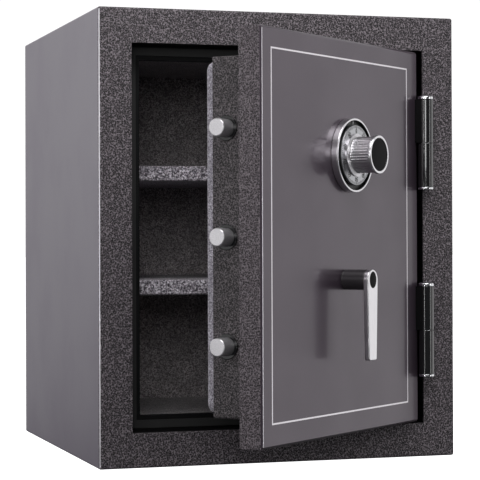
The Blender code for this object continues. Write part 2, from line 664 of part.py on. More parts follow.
def handle(door):
    turn = joint_axis("handle_turn", (HANDLE_X, FRONT, HANDLE_Z), door)
    spot = (HANDLE_X, FRONT, HANDLE_Z)
    bore = SPINDLE_RADIUS + GAP
    neck_base = RUNNING_GAP
    neck = [(bore, NECK_LENGTH), (NECK_RADIUS, NECK_LENGTH), (NECK_RADIUS, neck_base),
            (bore, neck_base)]
    turned("handle_neck", neck, spot, "front", turn, BLACK_PLASTIC, 32)
    spindle_back = -CAM_FRONT + GAP
    spindle = [(0, NECK_LENGTH), (SPINDLE_RADIUS, NECK_LENGTH), (SPINDLE_RADIUS, spindle_back),
               (0, spindle_back)]
    turned("handle_spindle", spindle, spot, "front", turn, RAW_STEEL, 32)

    top = LEVER_WIDTH / 2
    tip = LEVER_TIP / 2
    steps = 12
    lever = [(HANDLE_X - tip, HANDLE_Z - LEVER_LENGTH), (HANDLE_X + tip, HANDLE_Z - LEVER_LENGTH)]
    for step in range(steps + 1):
        angle = pi * step / steps
        lever.append((HANDLE_X + top * cos(angle), HANDLE_Z + top * sin(angle)))
    front = -NECK_LENGTH - GAP - LEVER_THICKNESS
    cap_half = CAP_SIZE[0] / 2
    cap_rise = CAP_SIZE[1] / 2
    centre = (HANDLE_X, HANDLE_Z)
    grip = plate("handle_lever", [lever, oval(centre, cap_half, cap_rise)], front, LEVER_THICKNESS,
                 turn, SATIN_STEEL)
    round_edges(grip, LEVER_RADIUS)
    plate("handle_cap", [oval(centre, cap_half - GAP, cap_rise - GAP)], front + CAP_SUNK,
          LEVER_THICKNESS - CAP_SUNK, turn, BLACK_PLASTIC)

    # The crank pin starts half the handle's turn before the top of its circle.
    back = -CAM_FRONT - CAM_STEEL
    cam_profile = [(0, -CAM_FRONT), (CAM_RADIUS, -CAM_FRONT), (CAM_RADIUS, back), (0, back)]
    cam = turned("handle_cam", cam_profile, spot, "front", turn, ZINC, 32)
    pin_x = HANDLE_X - CRANK * sin(HANDLE_TURN / 2)
    pin_spot = (pin_x, FRONT, HANDLE_Z + CRANK * cos(HANDLE_TURN / 2))
    pin_end = -CARRIER_FRONT - CARRIER_STEEL - CRANK_PIN_PAST
    pin_base = back + CAM_STEEL / 2
    pin = [(0, pin_base), (CRANK_PIN_RADIUS, pin_base), (CRANK_PIN_RADIUS, pin_end), (0, pin_end)]
    combine(cam, turned("crank_pin", pin, pin_spot, "front", turn, None, 32), "UNION")


def combination_lock(door):
    spot = (DIAL_X, FRONT, DIAL_Z)
    rim = RING_RADIUS - RING_RIM
    bore = DIAL_SPINDLE_RADIUS + 2 * RUNNING_GAP
    ring = [(rim, RING_DEPTH), (RING_RADIUS - RING_CHAMFER, RING_DEPTH),
            (RING_RADIUS, RING_DEPTH - RING_CHAMFER), (RING_RADIUS, GAP), (bore, GAP),
            (bore, RING_FLOOR), (rim, RING_FLOOR)]
    turned("dial_ring", ring, spot, "front", door, CHROME)

    turn = joint_axis("dial_turn", spot, door)
    bore = DIAL_SPINDLE_RADIUS + GAP
    face = DIAL_BACK + DIAL_THICKNESS
    dial = [(bore, face), (DIAL_RADIUS - RING_CHAMFER, face), (DIAL_RADIUS, face - RING_CHAMFER),
            (DIAL_RADIUS, DIAL_BACK), (bore, DIAL_BACK)]
    turned("dial_disc", dial, spot, "front", turn, CHROME)
    base = face + GAP
    seat = KNOB_CAP_RADIUS + GAP
    recess = KNOB_FRONT - KNOB_CAP_DEPTH
    flare = base + KNOB_FOOT + KNOB_FLARE
    knob = [(0, recess), (seat, recess), (seat, KNOB_FRONT),
            (KNOB_RIM_RADIUS - KNOB_CHAMFER, KNOB_FRONT),
            (KNOB_RIM_RADIUS, KNOB_FRONT - KNOB_CHAMFER), (KNOB_RIM_RADIUS, KNOB_FRONT - KNOB_RIM),
            (KNOB_RADIUS, KNOB_FRONT - KNOB_RIM - KNOB_FOOT), (KNOB_RADIUS, flare),
            (KNOB_BASE_RADIUS, base + KNOB_FOOT), (KNOB_BASE_RADIUS, base), (0, base)]
    turned("dial_knob", knob, spot, "front", turn, SATIN_STEEL, 32)
    cap_back = recess + GAP
    cap = [(0, KNOB_FRONT), (KNOB_CAP_RADIUS, KNOB_FRONT), (KNOB_CAP_RADIUS, cap_back), (0, cap_back)]
    turned("knob_cap", cap, spot, "front", turn, BLACK_PLASTIC)

    wheel_front = SLAB_DEPTH + WHEEL_INSET
    cam_front = wheel_front + 3 * WHEEL_PITCH
    cam_back = cam_front + WHEEL_THICKNESS
    spindle = [(0, face), (DIAL_SPINDLE_RADIUS, face), (DIAL_SPINDLE_RADIUS, -cam_back),
               (0, -cam_back)]
    turned("dial_spindle", spindle, spot, "front", turn, BRASS, 32)
    wheel_disc("drive_cam", DIAL_SPINDLE_RADIUS + GAP, cam_front, turn)
    pack = joint_axis("wheel_turn", spot, door)
    for number in (1, 2, 3):
        depth = wheel_front + (number - 1) * WHEEL_PITCH
        wheel_disc("wheel_" + str(number), WHEEL_BORE, depth, pack)

    left = DIAL_X - LOCK_WIDTH / 2
    right = DIAL_X + LOCK_WIDTH / 2
    front = FRONT + SLAB_DEPTH + GAP
    bottom = DIAL_Z - LOCK_BELOW
    case = open_box("lock_case", (left, front, bottom),
                    (right, front + LOCK_DEPTH, DIAL_Z + LOCK_ABOVE), (0, -1, 0), LOCK_WALL, door, ZINC)
    ramp = lock_ramp()
    width, depth = LOCK_BOLT_SIZE
    bolt_left = DIAL_X - width / 2
    bolt_right = DIAL_X + width / 2
    bolt_front = FRONT + LOCK_FRONT
    cut_block(case, (bolt_left - RUNNING_GAP, bolt_front - RUNNING_GAP, bottom - PAST),
              (bolt_right + RUNNING_GAP, bolt_front + depth + RUNNING_GAP, bottom + PAST), door)
    slide = joint_axis("lock_bolt_slide", (DIAL_X, bolt_front + depth / 2, bottom), door)
    tip = ramp["low"] + RUNNING_GAP
    top = DIAL_Z - WHEEL_RADIUS - LOCK_TRAVEL - WEDGE_UNDER
    outline = [(bolt_left, tip + ramp["bolt_rise"]), (bolt_right, tip), (bolt_right, top),
               (bolt_left, top)]
    plate("lock_bolt", [outline], LOCK_FRONT, depth, slide, BRASS)


def wheel_disc(name, bore, front, home):
    # A lock wheel with its gate cut in the rim.
    profile = [(bore, -front), (WHEEL_RADIUS, -front), (WHEEL_RADIUS, -front - WHEEL_THICKNESS),
               (bore, -front - WHEEL_THICKNESS)]
    wheel = turned(name, profile, (DIAL_X, FRONT, DIAL_Z), "front", home, BRASS, 32)
    top = DIAL_Z + WHEEL_RADIUS
    cut_block(wheel, (DIAL_X - GATE[0] / 2, FRONT + front - PAST, top - GATE[1]),
              (DIAL_X + GATE[0] / 2, FRONT + front + PAST, top + PAST), home)


# Looks: colour, metallic, roughness
HAMMERTONE = ((0.07, 0.065, 0.068), 0.3, 0.45)
GREY_GLOSS = ((0.13, 0.12, 0.125), 0.2, 0.22)
BLACK_PAINT = ((0.015, 0.015, 0.016), 0.0, 0.4)
CARPET = ((0.16, 0.16, 0.165), 0.0, 0.95)
CONCRETE = ((0.55, 0.54, 0.5), 0.0, 0.9)
RUBBER = ((0.02, 0.02, 0.02), 0.0, 0.7)
CHROME = ((0.75, 0.75, 0.76), 1.0, 0.12)
SATIN_STEEL = ((0.68, 0.68, 0.69), 1.0, 0.3)
RAW_STEEL = ((0.35, 0.34, 0.33), 1.0, 0.5)
ZINC = ((0.55, 0.55, 0.52), 1.0, 0.4)
BRASS = ((0.7, 0.52, 0.25), 1.0, 0.35)
BLACK_PLASTIC = ((0.012, 0.012, 0.013), 0.0, 0.2)

for leftover in list(bpy.data.objects):
    bpy.data.objects.remove(leftover)
PARTS = new_collection(OBJECT_NAME)
CUTTERS = new_collection("cutters")

body_shell()
fire_lining()
shelves()
door_axis = joint_axis("door_swing", (HINGE_X, HINGE_Y, 0))
hinges(door_axis)
door_slab(door_axis)
door_plug(door_axis)
boltwork(door_axis)
handle(door_axis)
combination_lock(door_axis)
door_axis.rotation_euler.z = DOOR_REST
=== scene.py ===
import json
from math import atan2, cos, hypot, pi, radians, sin

import bmesh
import bpy
from mathutils import Matrix, Vector


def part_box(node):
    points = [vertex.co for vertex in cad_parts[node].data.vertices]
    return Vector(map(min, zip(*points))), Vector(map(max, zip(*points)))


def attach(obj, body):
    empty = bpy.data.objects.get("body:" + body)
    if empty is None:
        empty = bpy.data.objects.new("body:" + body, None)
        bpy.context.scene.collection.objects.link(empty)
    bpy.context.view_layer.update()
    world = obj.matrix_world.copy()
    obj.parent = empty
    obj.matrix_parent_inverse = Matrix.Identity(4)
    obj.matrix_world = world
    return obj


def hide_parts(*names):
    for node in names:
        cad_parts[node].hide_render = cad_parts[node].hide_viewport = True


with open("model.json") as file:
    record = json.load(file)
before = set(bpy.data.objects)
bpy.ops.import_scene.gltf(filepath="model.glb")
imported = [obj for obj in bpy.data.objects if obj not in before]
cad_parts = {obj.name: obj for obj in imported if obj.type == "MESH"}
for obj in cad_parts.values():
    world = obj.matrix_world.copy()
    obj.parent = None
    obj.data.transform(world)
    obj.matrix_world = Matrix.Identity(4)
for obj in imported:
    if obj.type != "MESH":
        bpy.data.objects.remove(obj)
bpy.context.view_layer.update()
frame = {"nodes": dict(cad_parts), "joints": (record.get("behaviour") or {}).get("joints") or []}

nodes = frame["nodes"]
joints = {joint["name"]: joint for joint in frame["joints"]}

# Door pieces are modelled with the door shut and then swung to where the frame holds it
hingeLine = Vector(joints["door_swing"]["pos_m"])
restAngle = radians(-joints["door_swing"]["range_deg"][0])
swing = (Matrix.Translation(hingeLine) @ Matrix.Rotation(restAngle, 4, "Z")
         @ Matrix.Translation(-hingeLine))
unswing = swing.inverted()

facings = {"front": Matrix.Rotation(pi / 2, 4, "X"),
           "freeSide": Matrix.Rotation(-pi / 2, 4, "Y"),
           "hingeSide": Matrix.Rotation(pi / 2, 4, "Y"),
           "back": Matrix.Rotation(-pi / 2, 4, "X"),
           "up": Matrix.Identity(4)}


def shutBox(node):
    # the node's box as if the door were shut
    points = [unswing @ v.co for v in nodes[node].data.vertices]
    low = Vector(min(p[i] for p in points) for i in range(3))
    high = Vector(max(p[i] for p in points) for i in range(3))
    return low, high


class Wire:
    # a node's output that takes part in Python sums, so a pattern reads as an expression
    def __init__(self, finish, socket):
        self.finish = finish
        self.socket = socket

    def __add__(self, other):
        return self.finish.maths("ADD", self, other)

    def __radd__(self, other):
        return self.finish.maths("ADD", other, self)

    def __sub__(self, other):
        return self.finish.maths("SUBTRACT", self, other)

    def __rsub__(self, other):
        return self.finish.maths("SUBTRACT", other, self)

    def __rmul__(self, other):
        return self.finish.maths("MULTIPLY", other, self)


class Finish:
    def __init__(self, name, colour, roughness, metallic=0.0, **fixed):
        self.material = bpy.data.materials.new(name)
        self.material.use_nodes = True
        self.tree = self.material.node_tree
        self.shader = self.tree.nodes["Principled BSDF"]
        self.shader.inputs["Base Color"].default_value = (*colour, 1)
        self.shader.inputs["Roughness"].default_value = roughness
        self.shader.inputs["Metallic"].default_value = metallic
        for socket, value in fixed.items():
            self.shader.inputs[socket.replace("_", " ")].default_value = value
        self.spot = self.node("TexCoord", output="Object")

    def node(self, kind, settings=None, sockets=None, output=0):
        made = self.tree.nodes.new("ShaderNode" + kind)
        for setting, value in (settings or {}).items():
            setattr(made, setting, value)
        for socket, value in (sockets or {}).items():
            if isinstance(value, Wire):
                self.tree.links.new(value.socket, made.inputs[socket])
            else:
                made.inputs[socket].default_value = value
        return Wire(self, made.outputs[output])

    def maths(self, operation, first, second):
        return self.node("Math", {"operation": operation}, {0: first, 1: second})

    def feed(self, socket, wire):
        self.tree.links.new(wire.socket, self.shader.inputs[socket])

    def noise(self, size, detail=2.0, stretch=(1, 1, 1), warp=0.0):
        # size is the width of the pattern's blobs, in metres
        spot = self.spot
        if stretch != (1, 1, 1):
            spot = self.node("Mapping", None, {"Vector": spot, "Scale": stretch})
        return self.node("TexNoise", None, {"Vector": spot, "Scale": 1 / size, "Detail": detail,
                                            "Roughness": 0.55, "Distortion": warp})

    def cells(self, size):
        return self.node("TexVoronoi", {"feature": "F1"}, {"Vector": self.spot, "Scale": 1 / size},
                         "Distance")

    def ease(self, wire, low, high):
        return self.node("MapRange", {"interpolation_type": "SMOOTHSTEP"},
                         {"Value": wire, "From Min": low, "From Max": high})

    def between(self, mask, first, second):
        # the colour mix node's own numbers: 6 and 7 are its two colours, output 2 the mixed one
        first, second = (c if isinstance(c, Wire) else (*c, 1) for c in (first, second))
        return self.node("Mix", {"data_type": "RGBA"}, {0: mask, 6: first, 7: second}, 2)

    def relief(self, height, depth):
        self.feed("Normal", self.node("Bump", None, {"Height": height, "Distance": depth,
                                                     "Strength": 1}))


hammer = {"grain": 0.0022, "depth": 0.00045, "roughness": 0.4, "pit": (0.76, 0.92),
          "speck": (1.20, 1.36)}


def hammertone(name, ground, pit, speck):
    # stippled paint: worm-like dark pits in a grey ground, with a few light specks
    grain = hammer["grain"]
    finish = Finish(name, ground, hammer["roughness"], 0.15, Specular_IOR_Level=0.5)
    coarse = finish.noise(grain, 2.0, warp=0.8)
    fine = finish.noise(grain * 0.4, 1.0)
    pits = finish.cells(grain) + 0.9 * coarse
    smooth = finish.ease(pits, *hammer["pit"])
    lit = finish.ease(pits + 0.3 * fine, *hammer["speck"])
    finish.feed("Base Color", finish.between(lit, finish.between(smooth, pit, ground), speck))
    finish.feed("Roughness", hammer["roughness"] + 0.2 * (1 - smooth))
    finish.relief(pits + 0.2 * fine, hammer["depth"])
    return finish.material


def satinPaint(name, colour, roughness, peel=0.00005, **fixed):
    # smooth sprayed paint with a little orange peel and uneven thickness
    finish = Finish(name, colour, roughness, 0.1, **fixed)
    cloud = finish.noise(0.12, 3.0)
    darker = tuple(c * 0.96 for c in colour)
    finish.feed("Base Color", finish.between(finish.ease(cloud, 0.3, 0.7), darker, colour))
    finish.feed("Roughness", roughness + 0.06 * finish.ease(cloud, 0.35, 0.75))
    finish.relief(finish.noise(0.0035, 2.0) + 0.5 * finish.noise(0.0012, 1.0), peel)
    return finish.material


def glossPaint(name, colour):
    # metallic paint with fine light dust in it, under a thin clear coat
    finish = Finish(name, colour, 0.3, 0.45, Coat_Roughness=0.1, Coat_IOR=1.5)
    cloud = finish.noise(0.09, 3.0)
    dust = finish.noise(0.0011, 2.0)
    darker = tuple(c * 0.93 for c in colour)
    tone = finish.between(finish.ease(cloud, 0.3, 0.7), darker, colour)
    lighter = tuple(min(1, c * 1.6) for c in colour)
    finish.feed("Base Color", finish.between(0.35 * finish.ease(dust, 0.6, 0.75), tone, lighter))
    finish.feed("Coat Weight", 0.35 + 0.1 * finish.ease(cloud, 0.3, 0.7))
    finish.relief(finish.noise(0.004, 2.0) + 0.4 * dust, 0.00002)
    return finish.material


def carpet(name, dark, mid, light, fleck=0.0022):
    # short looped pile: salt and pepper flecks, tufts and a soft nap
    finish = Finish(name, mid, 0.95, 0.0, Specular_IOR_Level=0.15, Sheen_Weight=0.25,
                    Sheen_Roughness=0.5)
    yarn = finish.noise(fleck, 2.0, warp=0.4)
    hair = finish.noise(fleck * 0.4, 2.0)
    nap = finish.noise(0.03, 2.0)
    ground = finish.between(finish.ease(yarn, 0.38, 0.5), dark, mid)
    flecks = finish.between(finish.ease(yarn + 0.3 * hair, 0.66, 0.78), ground, light)
    shaded = finish.between(0.3 * finish.ease(nap, 0.35, 0.65), flecks, dark)
    finish.feed("Base Color", shaded)
    finish.relief(finish.cells(fleck * 0.8) + 0.8 * hair + 0.5 * yarn, 0.0007)
    return finish.material


def metal(name, colour, roughness, brush=(1, 1, 1), streak=0.0006, marks=0.1, depth=0.00001,
          metallic=1.0):
    # bare or plated metal; brush stretches the marks along one way
    finish = Finish(name, colour, roughness, metallic)
    lines = finish.noise(streak, 3.0, brush)
    cloud = finish.noise(0.025, 3.0)
    smear = finish.ease(cloud, 0.4, 0.7)
    darker = tuple(c * (1 - marks) for c in colour)
    finish.feed("Base Color", finish.between(finish.ease(lines, 0.35, 0.65), darker, colour))
    finish.feed("Roughness", roughness + marks * (lines - 0.5) + 0.05 * smear)
    finish.relief(lines, depth)
    return finish.material


def cast(name, colour):
    # light cast fill: grit and small voids
    finish = Finish(name, colour, 0.92)
    grit = finish.noise(0.004, 4.0)
    voids = finish.cells(0.012)
    darker = tuple(c * 0.62 for c in colour)
    finish.feed("Base Color", finish.between(finish.ease(grit, 0.35, 0.65), darker, colour))
    finish.relief(finish.ease(voids, 0.05, 0.3) + 0.4 * grit, 0.0006)
    return finish.material


def moulded(name, colour, roughness, grain=0.0009, depth=0.00002, **fixed):
    # plastic, rubber or enamel with a fine skin and faint smears
    finish = Finish(name, colour, roughness, **fixed)
    skin = finish.noise(grain, 2.0)
    smear = finish.noise(0.02, 3.0)
    lighter = tuple(min(1, c * 1.5 + 0.004) for c in colour)
    finish.feed("Base Color", finish.between(0.5 * finish.ease(smear, 0.45, 0.7), colour, lighter))
    finish.feed("Roughness", roughness + 0.08 * finish.ease(smear, 0.4, 0.7))
    finish.relief(skin, depth)
    return finish.material


looks = {
    "bodyFront": hammertone("body front hammertone", (0.093, 0.080, 0.089), (0.006, 0.005, 0.006),
                            (0.28, 0.245, 0.27)),
    "doorEdge": hammertone("door edge hammertone", (0.112, 0.093, 0.106), (0.018, 0.014, 0.016),
                           (0.22, 0.19, 0.21)),
    "plug": hammertone("plug hammertone", (0.070, 0.060, 0.066), (0.009, 0.008, 0.008),
                       (0.16, 0.14, 0.15)),
    # painted highlight: a bright metal finish on a few bevel faces stands in for the highlight
    # along the front edges
    "paintedHighlightLine": metal("painted highlight line", (0.78, 0.75, 0.80), 0.3, marks=0.1),
    "bodySide": satinPaint("body side satin", (0.175, 0.150, 0.194), 0.42),
    "doorFront": glossPaint("door front gloss", (0.088, 0.066, 0.088)),
    "black": satinPaint("black enamel", (0.0025, 0.0025, 0.003), 0.5, 0.00004,
                        Specular_IOR_Level=0.2),
    "hinge": satinPaint("hinge black gloss", (0.012, 0.012, 0.013), 0.08, 0.00001, Coat_Weight=1.0,
                        Coat_Roughness=0.04),
    "carpetWall": carpet("wall carpet", (0.19, 0.172, 0.176), (0.43, 0.39, 0.40),
                         (0.80, 0.76, 0.77)),
    "carpetShelf": carpet("shelf carpet", (0.078, 0.069, 0.081), (0.38, 0.345, 0.39),
                          (0.95, 0.90, 0.97), 0.0028),
    "carpetCover": carpet("door cover carpet", (0.20, 0.185, 0.22), (0.43, 0.40, 0.46),
                          (0.68, 0.65, 0.72)),
    "stripe": metal("silver stripe", (0.88, 0.84, 0.88), 0.32, marks=0.04, metallic=0.8),
    "chrome": metal("bright chrome", (0.80, 0.80, 0.82), 0.13, marks=0.03, depth=0.000002),
    "satin": metal("satin chrome", (0.88, 0.86, 0.89), 0.30, (1, 1, 0.05), marks=0.08),
    "bolt": metal("turned bolt steel", (0.82, 0.80, 0.83), 0.34, (0.3, 0.3, 1), marks=0.16,
                  metallic=0.72),
    "dialFace": metal("dial face", (0.50, 0.50, 0.52), 0.34, marks=0.04),
    "zinc": metal("zinc plate", (0.50, 0.51, 0.48), 0.38, marks=0.18, streak=0.004),
    "toolSteel": metal("hardened steel", (0.20, 0.19, 0.19), 0.5, marks=0.2, streak=0.003),
    "brass": metal("lock brass", (0.72, 0.50, 0.20), 0.3, marks=0.12, streak=0.001),
    "fill": cast("cast fill", (0.52, 0.50, 0.46)),
    "rubber": moulded("seal rubber", (0.012, 0.012, 0.012), 0.7, 0.0007, 0.00005),
    "blackPlastic": moulded("black gloss plastic", (0.008, 0.008, 0.009), 0.12),
    "blackInsert": moulded("black satin insert", (0.006, 0.005, 0.006), 0.5,
                           Specular_IOR_Level=0.06),
    "neck": moulded("handle neck black", (0.036, 0.032, 0.036), 0.30),
    "enamelWhite": moulded("white enamel", (0.75, 0.75, 0.76), 0.35),
    "enamelBlack": moulded("black enamel marks", (0.006, 0.006, 0.006), 0.4),
}
print("finishes made:", len(looks))


def addBox(bm, low, high):
    low, high = Vector(low), Vector(high)
    place = Matrix.Translation((low + high) / 2) @ Matrix.Diagonal((*(high - low), 1))
    return bmesh.ops.create_cube(bm, size=1, matrix=place)["verts"]


def roundOff(bm, edges, radius, segments=4):
    bmesh.ops.bevel(bm, geom=list(edges), offset=radius, segments=segments, profile=0.5,
                    affect="EDGES", clamp_overlap=True, material=-1)


def turnedMesh(profile, spot, facing, steps=64):
    # profile is (radius, height) points; height runs along the way the piece faces
    hollow = profile[0][0] > 0
    bm = bmesh.new()
    points = [bm.verts.new((radius, 0, height))
              for radius, height in profile + profile[:1] * hollow]
    edges = [bm.edges.new(pair) for pair in zip(points, points[1:])]
    bmesh.ops.spin(bm, geom=points + edges, cent=(0, 0, 0), axis=(0, 0, 1), angle=2 * pi,
                   steps=steps, use_merge=True)
    bmesh.ops.remove_doubles(bm, verts=bm.verts, dist=0.000005)
    bmesh.ops.recalc_face_normals(bm, faces=bm.faces)
    bm.transform(Matrix.Translation(spot) @ facings[facing])
    return bm


def softened(profile, radius, steps=3):
    # the same profile with its corners rounded off, apart from the nearly straight ones
    nearlyStraight, share = radians(165), 0.45
    made = [profile[0]]
    for before, corner, after in zip(profile, profile[1:], profile[2:]):
        corner, before, after = Vector(corner), Vector(before), Vector(after)
        into, away = before - corner, after - corner
        if into.angle(away, pi) > nearlyStraight or min(into.length, away.length) < 1e-6:
            made.append(tuple(corner))
            continue
        reach = min(radius, into.length * share, away.length * share)
        start, end = corner + into.normalized() * reach, corner + away.normalized() * reach
        for step in range(steps + 1):
            t = step / steps
            made.append(tuple((1 - t) ** 2 * start + 2 * t * (1 - t) * corner + t * t * end))
    made.append(profile[-1])
    return made


def join(bm, part):
    # moves the whole of one mesh into another
    mesh = bpy.data.meshes.new("part")
    part.to_mesh(mesh)
    part.free()
    bm.from_mesh(mesh)
    bpy.data.meshes.remove(mesh)


def addPiece(bm, name, look, bodyName, onDoor=False, stands=(), sharp=30, wall=0, lip=0):
    # stands names the frame's nodes that the piece takes the place of
    if onDoor:
        bm.transform(swing)
    mesh = bpy.data.meshes.new(name)
    bm.to_mesh(mesh)
    bm.free()
    for each in look if isinstance(look, list) else [look]:
        mesh.materials.append(looks[each])
    mesh.shade_smooth()
    mesh.set_sharp_from_angle(angle=radians(sharp))
    piece = bpy.data.objects.new(name, mesh)
    bpy.context.scene.collection.objects.link(piece)
    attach(piece, bodyName)
    if stands:
        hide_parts(*stands)
    if wall:
        sheet = piece.modifiers.new("wall", "SOLIDIFY")
        sheet.thickness = wall
        sheet.offset = -1
        sheet.use_even_offset = True
    if lip:
        edge = piece.modifiers.new("lip", "BEVEL")
        edge.width = lip
        edge.segments = 2
        edge.limit_method = "ANGLE"
        edge.angle_limit = radians(60)
    # large flat faces keep their own direction beside the rounded edges
    shading = piece.modifiers.new("shading", "WEIGHTED_NORMAL")
    shading.keep_sharp = True


body = {"radius": 0.0034, "lipRadius": 0.0007, "wall": 0.0039, "inset": 0.04}
shellLow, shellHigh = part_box("body_shell")
frontY = shellLow.y
# the door opening, read from the front's own corners
rimPoints = [v.co for v in nodes["body_shell"].data.vertices if abs(v.co.y - frontY) < 0.0001]
openHalf = min(abs(p.x) for p in rimPoints)
openLow = min(p.z for p in rimPoints if abs(p.x) < openHalf + 0.001)
openHigh = max(p.z for p in rimPoints if abs(p.x) < openHalf + 0.001)


def makeShell():
    bm = bmesh.new()
    addBox(bm, shellLow, shellHigh)
    bmesh.ops.delete(bm, geom=[f for f in bm.faces if f.normal.y > 0.9], context="FACES")
    roundOff(bm, [e for e in bm.edges if not e.is_boundary], body["radius"], 5)
    front = max((f for f in bm.faces if f.normal.y < -0.99), key=lambda f: f.calc_area())
    bmesh.ops.inset_individual(bm, faces=[front], thickness=body["inset"])
    for v in front.verts:  # the inset face becomes the opening
        v.co.x = openHalf if v.co.x > 0 else -openHalf
        v.co.z = openHigh if v.co.z > (openLow + openHigh) / 2 else openLow
    bmesh.ops.delete(bm, geom=[front], context="FACES")
    for f in bm.faces:
        n = f.normal
        # a painted highlight line runs down the left front edge: those bevel faces take the bright
        # metal finish
        paintedHighlight = -0.93 < n.y < -0.6 and n.x < -0.2 and abs(n.z) < 0.05
        f.material_index = 2 if paintedHighlight else 0 if n.y < -0.3 else 1
    bmesh.ops.recalc_face_normals(bm, faces=bm.faces)
    centre = (shellLow + shellHigh) / 2
    if sum(f.normal.dot(f.calc_center_median() - centre) for f in bm.faces) < 0:
        bmesh.ops.reverse_faces(bm, faces=bm.faces)
    addPiece(bm, "bodyShell", ["bodyFront", "bodySide", "paintedHighlightLine"], "cabinet",
             stands=["body_shell"], wall=body["wall"], lip=body["lipRadius"])


makeShell()
print("body shell made")


lining = {"corner": 0.007, "wall": 0.0038}
shelf = {"edge": 0.0032, "cuts": 24, "pile": 0.00022, "frontPile": 0.0002}


def makeLining():
    low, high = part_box("carpet_lining")
    bm = bmesh.new()
    addBox(bm, low, high)
    bmesh.ops.delete(bm, geom=[f for f in bm.faces if f.normal.y < -0.9], context="FACES")
    roundOff(bm, [e for e in bm.edges if not e.is_boundary], lining["corner"])
    addPiece(bm, "carpetLining", "carpetWall", "cabinet", stands=["carpet_lining"],
             wall=lining["wall"])


def makeShelf(name, node, bodyName):
    low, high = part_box(node)
    bm = bmesh.new()
    addBox(bm, low, high)
    roundOff(bm, bm.edges, shelf["edge"])
    long = [e for e in bm.edges if e.calc_length() > 0.1]
    bmesh.ops.subdivide_edges(bm, edges=long, cuts=shelf["cuts"], use_grid_fill=True)
    for v in bm.verts:  # the pile isn't perfectly flat
        wave = sin(v.co.x * 61) * cos(v.co.y * 47) + 0.5 * sin(v.co.x * 143 + v.co.y * 90)
        inward = shelf["pile"] * (1 + wave / 1.5)
        v.co.z += -inward if v.co.z > (low.z + high.z) / 2 else inward
        if v.co.y < low.y + 0.004:
            v.co.y += shelf["frontPile"] * (1 + sin(v.co.x * 83))
    addPiece(bm, name, "carpetShelf", bodyName, stands=[node], sharp=60)


makeLining()
makeShelf("shelfUpper", "shelf_upper", "upper_shelf")
makeShelf("shelfLower", "shelf_lower", "lower_shelf")
print("lining and shelves made")


slab = {"chamfer": 0.0031, "fillet": 0.0009, "wall": 0.0048}
stripe = {"fromFree": 0.0252, "fromHinge": 0.0358, "fromTop": 0.0278, "fromBottom": 0.0318,
          "width": 0.0033, "height": 0.00018, "gap": 0.00004}
slabLow, slabHigh = shutBox("door_skin")


def makeSlab():
    bm = bmesh.new()
    addBox(bm, slabLow, slabHigh)
    bmesh.ops.delete(bm, geom=[f for f in bm.faces if f.normal.y > 0.9], context="FACES")
    rim = [e for e in bm.edges if all(v.co.y < slabLow.y + 0.001 for v in e.verts)]
    roundOff(bm, rim, slab["chamfer"], 1)
    borders = [e for e in bm.edges if not e.is_boundary and e.calc_face_angle(0) > radians(25)]
    roundOff(bm, borders, slab["fillet"], 3)
    bm.normal_update()
    for f in bm.faces:
        n = f.normal
        # the free edge's front corner has a painted highlight line as well, in the same bright
        # metal finish
        paintedHighlight = -0.6 < n.x < -0.1 and n.y < -0.8 and abs(n.z) < 0.05
        f.material_index = 2 if paintedHighlight else 1 if n.y > -0.68 else 0
    addPiece(bm, "doorSlab", ["doorFront", "doorEdge", "paintedHighlightLine"], "door", True,
             ["door_skin"], sharp=40, wall=slab["wall"])


def makeStripe():
    bm = bmesh.new()
    left, right = slabLow.x + stripe["fromFree"], slabHigh.x - stripe["fromHinge"]
    bottom, top = slabLow.z + stripe["fromBottom"], slabHigh.z - stripe["fromTop"]
    corners = [(left, bottom), (right, bottom), (right, top), (left, top)]
    face = bm.faces.new([bm.verts.new((x, slabLow.y - stripe["gap"], z)) for x, z in corners])
    bm.normal_update()
    bmesh.ops.inset_individual(bm, faces=[face], thickness=stripe["width"])
    bmesh.ops.delete(bm, geom=[face], context="FACES")
    raised = bmesh.ops.extrude_face_region(bm, geom=bm.faces[:])["geom"]
    bmesh.ops.translate(bm, verts=[v for v in raised if isinstance(v, bmesh.types.BMVert)],
                        vec=(0, -stripe["height"], 0))
    bmesh.ops.recalc_face_normals(bm, faces=bm.faces)
    addPiece(bm, "doorStripe", "stripe", "door", True)


makeSlab()
makeStripe()


plug = {"corner": 0.0028, "wall": 0.0028}
plugLow, plugHigh = shutBox("plug_frame")


def makePlug():
    # a folded sheet box, open at the front and the back; the bushes sit on its free side
    bm = bmesh.new()
    addBox(bm, plugLow, plugHigh)
    ends = [f for f in bm.faces if abs(f.normal.y) > 0.9]
    bmesh.ops.delete(bm, geom=ends, context="FACES")
    roundOff(bm, [e for e in bm.edges if not e.is_boundary], plug["corner"])
    addPiece(bm, "plugFrame", "plug", "door", True, ["plug_frame"],
             wall=plug["wall"])


makePlug()


cover = {"corner": 0.014, "edge": 0.0045}
screw = {"inset": 0.028, "proud": 0.0012, "washerRadius": 0.0075, "washerBore": 0.0022,
         "headRadius": 0.0034, "depth": 0.003, "soft": 0.0003, "steps": 24}


